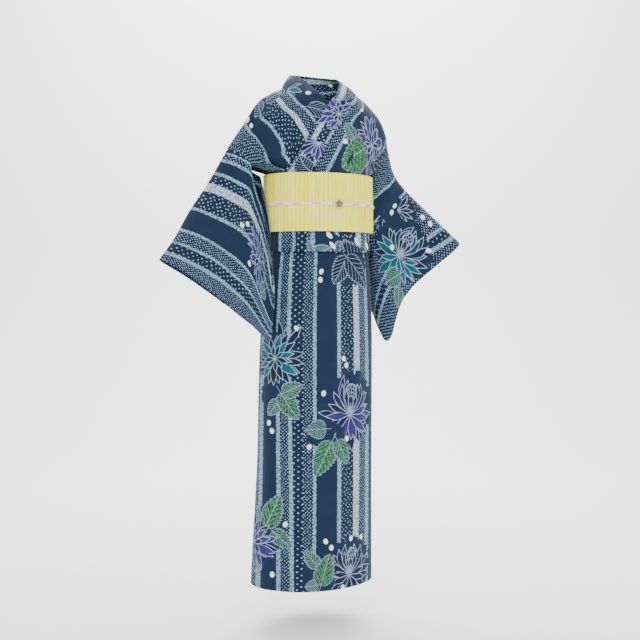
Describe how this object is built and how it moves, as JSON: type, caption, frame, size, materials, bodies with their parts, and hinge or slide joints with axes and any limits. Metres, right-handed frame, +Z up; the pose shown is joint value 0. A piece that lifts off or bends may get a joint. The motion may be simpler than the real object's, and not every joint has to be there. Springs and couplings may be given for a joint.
{
  "type": "yukata robe",
  "caption": "Cotton yukata robe, worn left over right, with hanging sleeves, a waist tuck, a woven belt and a flat belt cord with a flower slide.",
  "frame": {"origin": "between the wearer's shoulders, where the robe is carried", "axes": "+Z up, the wearer faces -Y and the wearer's left is +X"},
  "size_m": [0.8486, 0.2706, 1.3327],
  "materials": {
    "cotton_print": "matt",
    "belt_weave": "soft sheen",
    "cord_braid": "satin",
    "slide_metal": "satin"
  },
  "bodies": {
    "root": {"skirt_back_left": "cotton_print", "skirt_back_right": "cotton_print", "skirt_front_left": "cotton_print", "skirt_front_right": "cotton_print", "skirt_okumi_left": "cotton_print", "skirt_okumi_right": "cotton_print", "okumi_left_upper": "cotton_print", "body_left": "cotton_print", "body_right": "cotton_print", "collar": "cotton_print", "sleeve_left": "cotton_print", "sleeve_right": "cotton_print", "obi_wrap": "belt_weave", "obi_tail_loop": "belt_weave", "belt_cord": "cord_braid", "cord_slide": "slide_metal"}
  },
  "joints": []
}
